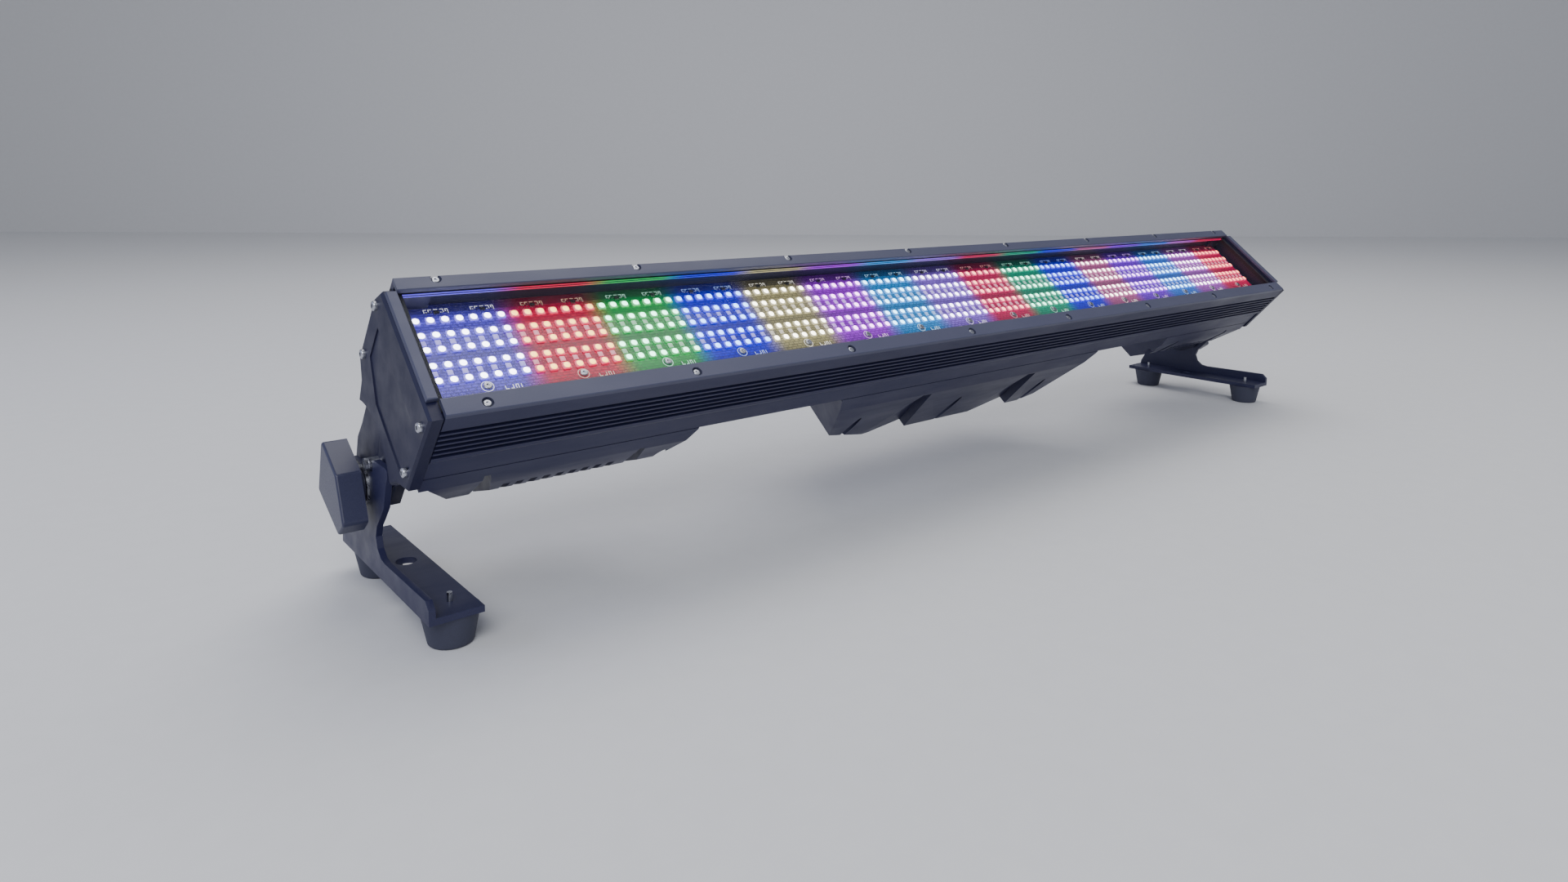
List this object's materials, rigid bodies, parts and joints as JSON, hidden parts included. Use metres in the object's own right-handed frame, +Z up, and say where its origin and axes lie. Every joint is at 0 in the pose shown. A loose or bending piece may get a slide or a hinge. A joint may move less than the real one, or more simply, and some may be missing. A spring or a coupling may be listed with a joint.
{
  "type": "led strip batten",
  "caption": "Stage light bar: long glazed aluminium trough of coloured LEDs with a rear driver box, tilting on clamped floor brackets with rubber feet.",
  "frame": {"origin": "on the floor, under the middle of the bounding box, midway between the brackets and 35.6 mm in front of their pivot axis", "axes": "+X along the bar to the right seen from the window side, +Z up, -Y towards the side the window leans to"},
  "size_m": [1.068, 0.1792, 0.2073],
  "materials": {
    "housing_paint": "black fine-textured powder coat on aluminium",
    "rail_paint": "dark grey satin coat on aluminium strip",
    "bracket_paint": "black fine-textured powder coat on steel plate",
    "window_glass": "clear tempered glass",
    "display_glass": "smoked acrylic over the display",
    "rubber": "matt black rubber",
    "led_board": "glossy black solder mask on laminate",
    "circuit_board": "green solder mask on laminate",
    "switch_plastic": "moulded black switch bodies",
    "button_plastic": "moulded light grey caps",
    "panel_plastic": "moulded dark grey panel",
    "knob_plastic": "moulded black glass-filled nylon",
    "brass": "turned brass",
    "socket_plastic": "moulded black nylon",
    "supply_case": "plain aluminium case",
    "washer_plastic": "natural nylon",
    "dark_screws": "gun-metal plated steel",
    "bare_steel": "zinc plated steel"
  },
  "bodies": {
    "housing": {"board_screws": "bare_steel", "box_screws": "bare_steel", "button_switches": "switch_plastic", "control_board": "circuit_board", "control_panel": "panel_plastic", "cover_screws": "bare_steel", "data_inlet": "socket_plastic", "data_outlet": "socket_plastic", "display_window": "display_glass", "driver_box": "housing_paint", "end_cap_screws": "dark_screws", "housing_extrusion": "housing_paint", "led_board_1": "led_board", "led_board_2": "led_board", "led_board_3": "led_board", "led_board_4": "led_board", "left_cap_gasket": "rubber", "left_end_bar": "rail_paint", "left_end_cap": "housing_paint", "left_friction_washer": "washer_plastic", "left_pivot_stud": "bare_steel", "left_power_supply": "supply_case", "left_rear_cover": "housing_paint", "power_inlet": "socket_plastic", "power_outlet": "socket_plastic", "rail_screws": "dark_screws", "right_cap_gasket": "rubber", "right_end_bar": "rail_paint", "right_end_cap": "housing_paint", "right_friction_washer": "washer_plastic", "right_pivot_stud": "bare_steel", "right_power_supply": "supply_case", "right_rear_cover": "housing_paint", "safety_eye": "bare_steel", "stop_pins": "bare_steel", "window_gasket": "rubber", "window_glass": "window_glass", "window_rail_bottom": "rail_paint", "window_rail_top": "rail_paint"},
    "left_bracket": {"left_bracket_plate": "bracket_paint", "left_arm_washer": "bare_steel", "left_rubber_feet": "rubber", "left_foot_screws": "bare_steel"},
    "right_bracket": {"right_bracket_plate": "bracket_paint", "right_arm_washer": "bare_steel", "right_rubber_feet": "rubber", "right_foot_screws": "bare_steel"},
    "left_knob": {"left_knob_grip": "knob_plastic", "left_knob_insert": "brass"},
    "right_knob": {"right_knob_grip": "knob_plastic", "right_knob_insert": "brass"},
    "menu_button_1_cap": {"menu_button_1": "button_plastic"},
    "menu_button_2_cap": {"menu_button_2": "button_plastic"},
    "menu_button_3_cap": {"menu_button_3": "button_plastic"},
    "menu_button_4_cap": {"menu_button_4": "button_plastic"}
  },
  "joints": [
    {"name": "left_bracket_tilt", "type": "hinge", "parent": "housing", "child": "left_bracket", "pos_m": [-0.51, 0.03561, 0.073], "axis": [1, 0, 0], "range_deg": [0, 80.5]},
    {"name": "right_bracket_tilt", "type": "hinge", "parent": "housing", "child": "right_bracket", "pos_m": [0.51, 0.03561, 0.073], "axis": [1, 0, 0], "range_deg": [0, 80.5]},
    {"name": "left_knob_turn", "type": "hinge", "parent": "housing", "child": "left_knob", "pos_m": [-0.525, 0.03561, 0.073], "axis": [1, 0, 0], "continuous": true},
    {"name": "right_knob_turn", "type": "hinge", "parent": "housing", "child": "right_knob", "pos_m": [0.525, 0.03561, 0.073], "axis": [1, 0, 0], "continuous": true},
    {"name": "menu_button_1_press", "type": "slide", "parent": "housing", "child": "menu_button_1_cap", "axis": [0, -0.7604, -0.6494], "range_m": [0, 0.0008], "stiffness_N_per_m": 900},
    {"name": "menu_button_2_press", "type": "slide", "parent": "housing", "child": "menu_button_2_cap", "axis": [0, -0.7604, -0.6494], "range_m": [0, 0.0008], "stiffness_N_per_m": 900},
    {"name": "menu_button_3_press", "type": "slide", "parent": "housing", "child": "menu_button_3_cap", "axis": [0, -0.7604, -0.6494], "range_m": [0, 0.0008], "stiffness_N_per_m": 900},
    {"name": "menu_button_4_press", "type": "slide", "parent": "housing", "child": "menu_button_4_cap", "axis": [0, -0.7604, -0.6494], "range_m": [0, 0.0008], "stiffness_N_per_m": 900}
  ]
}
